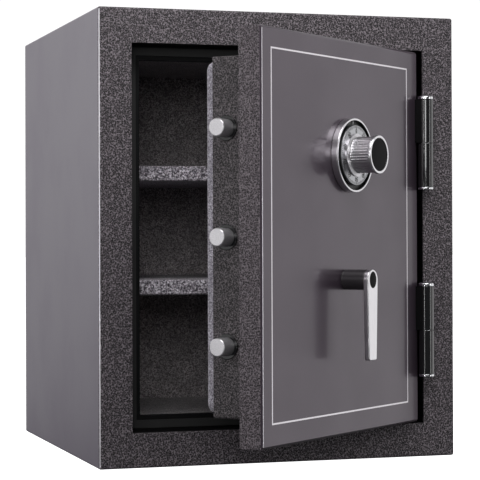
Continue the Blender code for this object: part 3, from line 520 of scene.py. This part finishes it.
def makeCover():
    low, high = shutBox("rear_cover")
    outer = high.y
    high.y -= screw["proud"]
    bm = bmesh.new()
    addBox(bm, low, high)
    roundOff(bm, [e for e in bm.edges if abs(e.verts[0].co.y - e.verts[1].co.y) > 0.005],
             cover["corner"], 6)
    back = [e for e in bm.edges if all(v.co.y > high.y - 0.0001 for v in e.verts)]
    roundOff(bm, back, cover["edge"])
    addPiece(bm, "rearCover", "carpetCover", "door", True, ["rear_cover"], sharp=60)

    # cup washers and screw heads round the edge of the cover
    inset, bore, r, head, deep = (screw[key] for key in (
        "inset", "washerBore", "washerRadius", "headRadius", "depth"))
    columns = [low.x + inset, (low.x + high.x) / 2, high.x - inset]
    rows = [low.z + inset, (low.z + high.z) / 2, high.z - inset]
    spots = [(x, z) for x in columns for z in rows if (x, z) != (columns[1], rows[1])]
    washer = [(bore, -0.0010), (head + 0.0002, -0.0005), (r * 0.62, 0), (r * 0.85, -0.0003),
              (r, -0.0011), (r, -deep), (bore, -deep)]
    dome = [(0, -0.0002), (bore - 0.0002, -0.0002), (head, -0.0006), (head, -deep), (0, -deep)]
    bm = bmesh.new()
    for x, z in spots:
        for profile in (washer, dome):
            join(bm, turnedMesh(softened(profile, screw["soft"]), (x, outer, z), "back",
                                screw["steps"]))
    addPiece(bm, "coverScrews", "bolt", "door", True)


makeCover()
print("door made")


bolt = {"liveLength": 0.055, "chamfer": 0.0014, "soft": 0.0004}
bush = {"clearance": 0.0005, "wall": 0.002, "depth": 0.004, "soft": 0.0004}


def makeBolts():
    for number in ("1", "2", "3"):
        liveLow, liveHigh = shutBox("live_bolt_" + number)
        radius = (liveHigh.z - liveLow.z) / 2
        for kind in ("live", "dead"):
            live = kind == "live"
            node = kind + "_bolt_" + number
            low, high = shutBox(node)
            centre = Vector((low.x if live else high.x, (low.y + high.y) / 2,
                             (low.z + high.z) / 2))
            length = bolt["liveLength"] if live else high.x - low.x
            profile = [(0, 0), (radius - 0.0012, 0), (radius, -bolt["chamfer"]),
                       (radius, -length), (0, -length)]
            bm = turnedMesh(softened(profile, bolt["soft"]), centre,
                            "freeSide" if live else "hingeSide")
            addPiece(bm, kind + "Bolt" + number, "bolt", "bolts" if live else "door",
                     True, [node], sharp=38)

        node = "bolt_bush_" + number
        low, high = shutBox(node)
        middle = (low + high) / 2
        outer = (high.z - low.z) / 2
        bore = radius + bush["clearance"]
        sleeve = bore + bush["wall"]
        reach = plugLow.x - low.x
        ring = [(bore, reach), (outer - 0.0005, reach), (outer, reach - 0.0004), (outer, 0.0002),
                (sleeve, 0.0001), (sleeve, -bush["depth"]), (bore, -bush["depth"])]
        bm = turnedMesh(softened(ring, bush["soft"]), (plugLow.x, middle.y, middle.z), "freeSide")
        addPiece(bm, "boltBush" + number, "blackPlastic", "door", True, [node])


makeBolts()
print("bolts made")


hinge = {"bore": 0.0064, "pin": 0.0058, "footInset": 0.004, "footShort": 0.0002,
         "barrelSoft": 0.0007, "capSoft": 0.0008, "steps": 72}


def makeHinges():
    centre = Vector((hingeLine.x, hingeLine.y, 0))
    for level in ("upper", "lower"):
        nodeStart, nameStart = "hinge_" + level + "_", "hinge" + level.title()
        for side, bodyName in (("body", "cabinet"), ("door", "door")):
            onDoor = side == "door"
            node = nodeStart + side + "_knuckle"
            low, high = shutBox(node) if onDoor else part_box(node)
            radius, bore = centre.y - low.y, hinge["bore"]
            barrel = [(bore, low.z), (radius, low.z), (radius, high.z), (bore, high.z)]
            bm = turnedMesh(softened(barrel, hinge["barrelSoft"]), centre, "up", hinge["steps"])
            left = low.x if onDoor else centre.x + hinge["footInset"]
            right = centre.x - hinge["footInset"] if onDoor else high.x
            foot = addBox(bm, (left, centre.y, low.z + hinge["footShort"]),
                          (right, high.y, high.z - hinge["footShort"]))
            for f in {f for v in foot for f in v.link_faces}:
                f.material_index = 1
            addPiece(bm, nameStart + side.title() + "Knuckle", ["hinge", "black"], bodyName,
                     onDoor, [node])

        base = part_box(nodeStart + "body_knuckle")[0].z - 0.0003
        for part in ("cap", "pin"):
            low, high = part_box(nodeStart + part)
            radius = (high.x - low.x) / 2
            if part == "cap":
                profile = [(0, high.z), (radius * 0.55, high.z - 0.0002),
                           (radius * 0.86, high.z - 0.001), (radius, high.z - 0.0028),
                           (radius, low.z + 0.0004), (radius - 0.0004, low.z), (0, low.z)]
            else:
                profile = [(0, high.z), (hinge["pin"], high.z), (hinge["pin"], base),
                           (radius - 0.0004, base), (radius, base - 0.0005),
                           (radius, low.z + 0.0018), (radius * 0.86, low.z + 0.0006), (0, low.z)]
            bm = turnedMesh(softened(profile, hinge["capSoft"], 4), centre, "up", hinge["steps"])
            addPiece(bm, nameStart + part.title(), "chrome", "cabinet", False,
                     [nodeStart + part])


makeHinges()
print("hinges made")


dial = {"ringRim": 0.0034, "recess": 0.0052, "ringBore": 0.006, "discBore": 0.005,
        "steps": 128, "indexHalf": 0.0009, "indexHeight": 0.0012}
marks = {"divisions": 100, "lengths": {10: 0.0043, 5: 0.0038, 1: 0.0031}, "rimGap": 0.0013,
         "width": 0.0009, "wide": 1.5, "proud": 0.00008, "deep": 0.0002, "numeralSize": 0.0088,
         "numeralRadius": 0.0349, "numeralProud": 0.00014, "numeralWeight": 0.0002}
knob = {"rim": 0.0284, "waist": 0.0262, "collar": 0.004, "skirt": 0.005, "flutes": 40,
        "fluteDepth": 0.0006, "rows": 14, "capSink": 0.0021}
ringLow, ringHigh = shutBox("dial_ring")
discLow, discHigh = shutBox("dial_disc")
knobLow, knobHigh = shutBox("dial_knob")
dialSpot = Vector(((ringLow.x + ringHigh.x) / 2, frontY, (ringLow.z + ringHigh.z) / 2))
ringRadius = (ringHigh.x - ringLow.x) / 2
ringDepth = frontY - ringLow.y
discRadius = (discHigh.x - discLow.x) / 2
discFace = frontY - discLow.y
knobBase = (knobHigh.x - knobLow.x) / 2
knobReach = frontY - knobLow.y


def makeRing():
    rim, bore = ringRadius - dial["ringRim"], dial["ringBore"]
    profile = [(bore, dial["recess"]), (rim, dial["recess"]), (rim, ringDepth - 0.0003),
               (rim + 0.0006, ringDepth), (ringRadius - 0.0009, ringDepth),
               (ringRadius, ringDepth - 0.0010), (ringRadius, 0.0004), (bore, 0.0004)]
    bm = turnedMesh(softened(profile, 0.0004), dialSpot, "front", dial["steps"])
    for f in bm.faces:
        c = f.calc_center_median() - dialSpot
        inside = hypot(c.x, c.z) < rim + 0.0001 and -c.y < ringDepth - 0.0002
        f.material_index = 1 if inside and -c.y > 0.002 else 0
    addPiece(bm, "dialRing", ["satin", "enamelBlack"], "door", True, ["dial_ring"])

    bm = bmesh.new()
    base = dialSpot + Vector((0, -dial["recess"], 0))
    half = dial["indexHalf"]
    verts = addBox(bm, base + Vector((-half, -dial["indexHeight"], discRadius + 0.0012)),
                   base + Vector((half, 0, rim - 0.0006)))
    for v in verts:  # the index narrows towards the dial
        if v.co.z < base.z + discRadius + 0.002:
            v.co.x = base.x + (v.co.x - base.x) * 0.5
    addPiece(bm, "dialIndex", "enamelWhite", "door", True)


def makeDisc():
    back, bore = frontY - discHigh.y, dial["discBore"]
    profile = [(bore, discFace), (discRadius - 0.0009, discFace), (discRadius, discFace - 0.0008),
               (discRadius, back + 0.0002), (discRadius - 0.0003, back), (bore, back)]
    bm = turnedMesh(softened(profile, 0.0003), dialSpot, "front", dial["steps"])
    addPiece(bm, "dialDisc", "dialFace", "dial", True, ["dial_disc"])


def makeMarks():
    bm = bmesh.new()
    outer = discRadius - marks["rimGap"]
    face = -discFace
    oneDivision = 2 * pi / marks["divisions"]
    for step in range(marks["divisions"]):
        length = next(v for k, v in marks["lengths"].items() if step % k == 0)
        half = marks["width"] / 2 * (marks["wide"] if step % 10 == 0 else 1)
        verts = addBox(bm, (-half, face - marks["proud"], outer - length),
                       (half, face + marks["deep"], outer))
        bmesh.ops.rotate(bm, verts=verts, cent=(0, 0, 0),
                         matrix=Matrix.Rotation(-oneDivision * step, 3, "Y"))
    for number in range(0, marks["divisions"], 10):
        curve = bpy.data.curves.new("numeral", "FONT")
        curve.body = str(number)
        curve.size = marks["numeralSize"]
        curve.align_x = "CENTER"
        curve.align_y = "CENTER"
        curve.extrude = marks["numeralProud"]
        curve.offset = marks["numeralWeight"]
        curve.resolution_u = 3
        drawn = bpy.data.objects.new("numeral", curve)
        bpy.context.scene.collection.objects.link(drawn)
        mesh = bpy.data.meshes.new_from_object(
            drawn.evaluated_get(bpy.context.evaluated_depsgraph_get()))
        bpy.data.objects.remove(drawn)
        mesh.transform(Matrix.Rotation(oneDivision * number, 4, "Y")
                       @ Matrix.Translation((0, face, marks["numeralRadius"]))
                       @ facings["front"])
        bm.from_mesh(mesh)
        bpy.data.meshes.remove(mesh)
    bm.transform(Matrix.Translation(dialSpot))
    addPiece(bm, "dialMarks", "enamelBlack", "dial", True)


def makeKnob():
    low, high = shutBox("knob_cap")
    capRadius = (high.x - low.x) / 2
    seat, sink = capRadius + 0.0004, knob["capSink"]
    rim, waist = knob["rim"], knob["waist"]
    foot, front = discFace + 0.0002, knobReach
    shoulder = front - knob["collar"]
    profile = [(0, front - sink), (seat, front - sink), (seat, front - 0.0002),
               (seat + 0.0004, front), (rim - 0.0011, front), (rim, front - 0.0012),
               (rim, shoulder), (waist + 0.0003, shoulder - 0.0018)]
    fluteTop, fluteFoot = shoulder - 0.0022, foot + knob["skirt"]
    for row in range(knob["rows"] + 1):
        profile.append((waist, fluteTop + (fluteFoot - fluteTop) * row / knob["rows"]))
    profile += [(waist + 0.0004, fluteFoot - 0.0010), (knobBase - 0.0012, foot + 0.0024),
                (knobBase, foot + 0.0016), (knobBase, foot), (0, foot)]
    bm = turnedMesh(profile, (0, 0, 0), "up", knob["flutes"] * 6)
    for v in bm.verts:
        radius = hypot(v.co.x, v.co.y)
        if abs(radius - waist) < 0.0001 and fluteFoot - 0.0001 < v.co.z < fluteTop + 0.0001:
            wave = cos(knob["flutes"] * atan2(v.co.y, v.co.x))
            scale = 1 - knob["fluteDepth"] / waist * (1 - wave) / 2
            v.co.x *= scale
            v.co.y *= scale
    bm.transform(Matrix.Translation(dialSpot) @ facings["front"])
    addPiece(bm, "dialKnob", "satin", "dial", True, ["dial_knob"], sharp=45)

    profile = [(0, front - 0.0001), (capRadius * 0.6, front - 0.0002),
               (capRadius - 0.0008, front - 0.0006), (capRadius, front - 0.0012),
               (capRadius, front - 0.0019), (0, front - 0.0019)]
    bm = turnedMesh(softened(profile, 0.0004), dialSpot, "front", 96)
    addPiece(bm, "knobCap", "blackInsert", "dial", True, ["knob_cap"])


makeRing()
makeDisc()
makeMarks()
makeKnob()
print("dial made")


neckLow, neckHigh = shutBox("handle_neck")
leverLow, leverHigh = shutBox("handle_lever")
capLow, capHigh = shutBox("handle_cap")
handleSpot = Vector(((neckLow.x + neckHigh.x) / 2, frontY, (neckLow.z + neckHigh.z) / 2))
neck = {"bore": 0.0074, "foot": 0.0006, "grooveDepth": 0.0008, "steps": 72}
lever = {"tipHalf": 0.01125, "tipCorner": 0.003, "tipCut": 0.0008, "roundSteps": 24,
         "bevel": 0.0016, "edge": 0.0009, "capProud": 0.0007, "capFoot": 0.004}


def makeNeck():
    radius = (neckHigh.x - neckLow.x) / 2
    groove = radius - neck["grooveDepth"]
    top, foot, bore = frontY - neckLow.y, neck["foot"], neck["bore"]
    profile = [(bore, top), (radius - 0.0006, top), (radius, top - 0.0008), (radius, 0.0030),
               (groove, 0.0024), (groove, 0.0018), (radius, 0.0012), (radius, foot), (bore, foot)]
    bm = turnedMesh(softened(profile, 0.0004), handleSpot, "front", neck["steps"])
    addPiece(bm, "handleNeck", "neck", "handle", True, ["handle_neck"])


def makeLever():
    # an outline that runs round from the tip, raised to its thickness
    topHalf = (leverHigh.x - leverLow.x) / 2
    low = leverLow.z - handleSpot.z
    tip, corner, cut = lever["tipHalf"], lever["tipCorner"], lever["tipCut"]
    outline = [(corner - tip, low), (tip - corner, low), (tip - cut, low + cut),
               (tip, low + corner)]
    for step in range(lever["roundSteps"] + 1):
        angle = pi * step / lever["roundSteps"]
        outline.append((topHalf * cos(angle), topHalf * sin(angle)))
    outline += [(-tip, low + corner), (cut - tip, low + cut)]
    bm = bmesh.new()
    face = bm.faces.new([bm.verts.new((handleSpot.x + x, leverHigh.y, handleSpot.z + z))
                         for x, z in outline])
    if face.normal.y > 0:
        face.normal_flip()
    raised = bmesh.ops.extrude_face_region(bm, geom=[face])["geom"]
    moved = [g for g in raised if isinstance(g, bmesh.types.BMVert)]
    bmesh.ops.translate(bm, verts=moved, vec=(0, leverLow.y - leverHigh.y, 0))
    bmesh.ops.recalc_face_normals(bm, faces=bm.faces)
    front = {e for e in bm.edges if all(v.co.y < leverLow.y + 0.0001 for v in e.verts)}
    back = {e for e in bm.edges if all(v.co.y > leverHigh.y - 0.0001 for v in e.verts)}
    roundOff(bm, front, lever["bevel"])
    roundOff(bm, [e for e in back if e.is_valid], lever["edge"], 2)
    addPiece(bm, "handleLever", "satin", "handle", True, ["handle_lever"], sharp=50)


def makeHandleCap():
    # turned with a radius of 1, then drawn out to an oval
    halfWidth = (capHigh.x - capLow.x) / 2
    halfHeight = (capHigh.z - capLow.z) / 2
    depth, foot = capHigh.y - leverLow.y + lever["capProud"], lever["capFoot"]
    profile = [(0, depth), (0.6, depth - 0.00005), (0.96, depth - 0.0003), (1, depth - 0.0008),
               (1, foot), (0, foot)]
    bm = turnedMesh(softened(profile, 0.0004), (0, 0, 0), "up")
    bmesh.ops.scale(bm, verts=bm.verts, vec=(halfWidth, halfHeight, 1))
    bm.transform(Matrix.Translation((handleSpot.x, capHigh.y, handleSpot.z)) @ facings["front"])
    addPiece(bm, "handleCap", "blackInsert", "handle", True, ["handle_cap"])


makeNeck()
makeLever()
makeHandleCap()
print("handle made")


# the frame's own pieces that no piece above stands for keep their shapes and get finishes
carried = {
    "black": ["door_jamb", "inner_liner", "door_back_plate"],
    "bodySide": ["rear_panel"],
    "fill": ["fire_insulation", "door_insulation"],
    "rubber": ["door_seal"],
    "toolSteel": ["hard_plate", "handle_spindle"],
    "brass": ["wheel_1", "wheel_2", "wheel_3", "drive_cam", "dial_spindle", "lock_bolt"],
    "zinc": [n for n in nodes if n.startswith(("shelf_standard", "shelf_bracket", "guide_stud"))]
    + ["bolt_carrier", "lock_wedge", "lock_case", "handle_cam"],
}
for look, names in carried.items():
    for name in names:
        nodes[name].data.materials.clear()
        nodes[name].data.materials.append(looks[look])
print("frame pieces finished:", sum(len(names) for names in carried.values()))


def softbox(name, spot, aim, size, power):
    light = bpy.data.lights.new(name, "AREA")
    light.shape = "RECTANGLE"
    light.size, light.size_y = size
    light.energy = power
    lamp = bpy.data.objects.new(name, light)
    bpy.context.scene.collection.objects.link(lamp)
    lamp.location = spot
    lamp.rotation_euler = (Vector(aim) - Vector(spot)).to_track_quat("-Z", "Y").to_euler()
    lamp.visible_camera = False


studio = {"floorHalf": 30, "floorDrop": 0.0005, "floorGlow": 1.2, "seen": 1.05, "fill": 0.07}
# each lamp: where it stands, where it points, its width and height, and its power
lamps = {
    "top": ((-0.1, -1.2, 1.8), (0, -0.3, 0.5), (1.6, 0.8), 18),
    "camera": ((-1.02, -3.1, 1.0), (0, -0.2, 0.4), (0.9, 0.9), 15),
    "leftStrip": ((-1.75, -1.95, 0.45), (0, -0.3, 0.4), (0.07, 1.7), 5),
    "rightStrip": ((1.9, -2.3, 0.55), (0, -0.3, 0.4), (0.25, 1.8), 6),
    "rightWall": ((3.2, 0.2, 0.6), (0, 0.2, 0.5), (5, 4), 51),
    "leftWall": ((-2.3, 1.7, 1.3), (-0.3, 0.1, 0.45), (2.0, 2.2), 33),
    "leftPanel": ((-2.4, -0.9, 0.6), (-0.2, -0.5, 0.35), (1.1, 1.7), 6),
    "backdrop": ((0.5, 3.2, 1.3), (0.1, 0, 0.4), (6, 3.6), 45),
}


def makeStage():
    bm = bmesh.new()
    bmesh.ops.create_grid(bm, x_segments=1, y_segments=1, size=studio["floorHalf"])
    mesh = bpy.data.meshes.new("studioFloor")
    bm.to_mesh(mesh)
    bm.free()
    floor = bpy.data.objects.new("studioFloor", mesh)
    bpy.context.scene.collection.objects.link(floor)
    floor.location.z = -studio["floorDrop"]
    paper = Finish("studio paper", (0.9, 0.9, 0.9), 0.9, 0.0, Emission_Color=(1, 1, 1, 1),
                   Emission_Strength=studio["floorGlow"])
    mesh.materials.append(paper.material)
    floor.visible_diffuse = False
    floor.visible_glossy = False

    # the camera sees a white backdrop, and everything else gets a weak fill
    world = bpy.data.worlds.new("studio")
    world.use_nodes = True
    tree = world.node_tree
    seen = tree.nodes["Background"]
    seen.inputs["Color"].default_value = (1, 1, 1, 1)
    seen.inputs["Strength"].default_value = studio["seen"]
    fill = tree.nodes.new("ShaderNodeBackground")
    fill.inputs["Color"].default_value = (0.95, 0.97, 1.0, 1)
    fill.inputs["Strength"].default_value = studio["fill"]
    ray = tree.nodes.new("ShaderNodeLightPath")
    pick = tree.nodes.new("ShaderNodeMixShader")
    tree.links.new(ray.outputs["Is Camera Ray"], pick.inputs[0])
    tree.links.new(fill.outputs[0], pick.inputs[1])
    tree.links.new(seen.outputs[0], pick.inputs[2])
    tree.links.new(pick.outputs[0], tree.nodes["World Output"].inputs["Surface"])
    bpy.context.scene.world = world

    for name, lamp in lamps.items():
        softbox(name, *lamp)


cameraSet = {"spot": (-0.8963, -2.9355, 0.3421), "pitch": 0.543, "roll": -0.2, "yaw": -17.483,
             "sensor": 36, "lens": 137.5, "shift": (-0.0048, -0.0407)}


def makeCamera():
    camera = bpy.data.objects.new("camera", bpy.data.cameras.new("camera"))
    bpy.context.scene.collection.objects.link(camera)
    camera.data.sensor_width = cameraSet["sensor"]
    camera.data.lens = cameraSet["lens"]
    camera.data.shift_x, camera.data.shift_y = cameraSet["shift"]
    camera.location = cameraSet["spot"]
    turn = (Matrix.Rotation(radians(cameraSet["yaw"]), 4, "Z")
            @ Matrix.Rotation(radians(90 + cameraSet["pitch"]), 4, "X")
            @ Matrix.Rotation(radians(cameraSet["roll"]), 4, "Z"))
    camera.rotation_euler = turn.to_euler()
    bpy.context.scene.camera = camera


makeStage()
makeCamera()
bpy.context.scene.view_settings.view_transform = "Standard"
print("stage set")
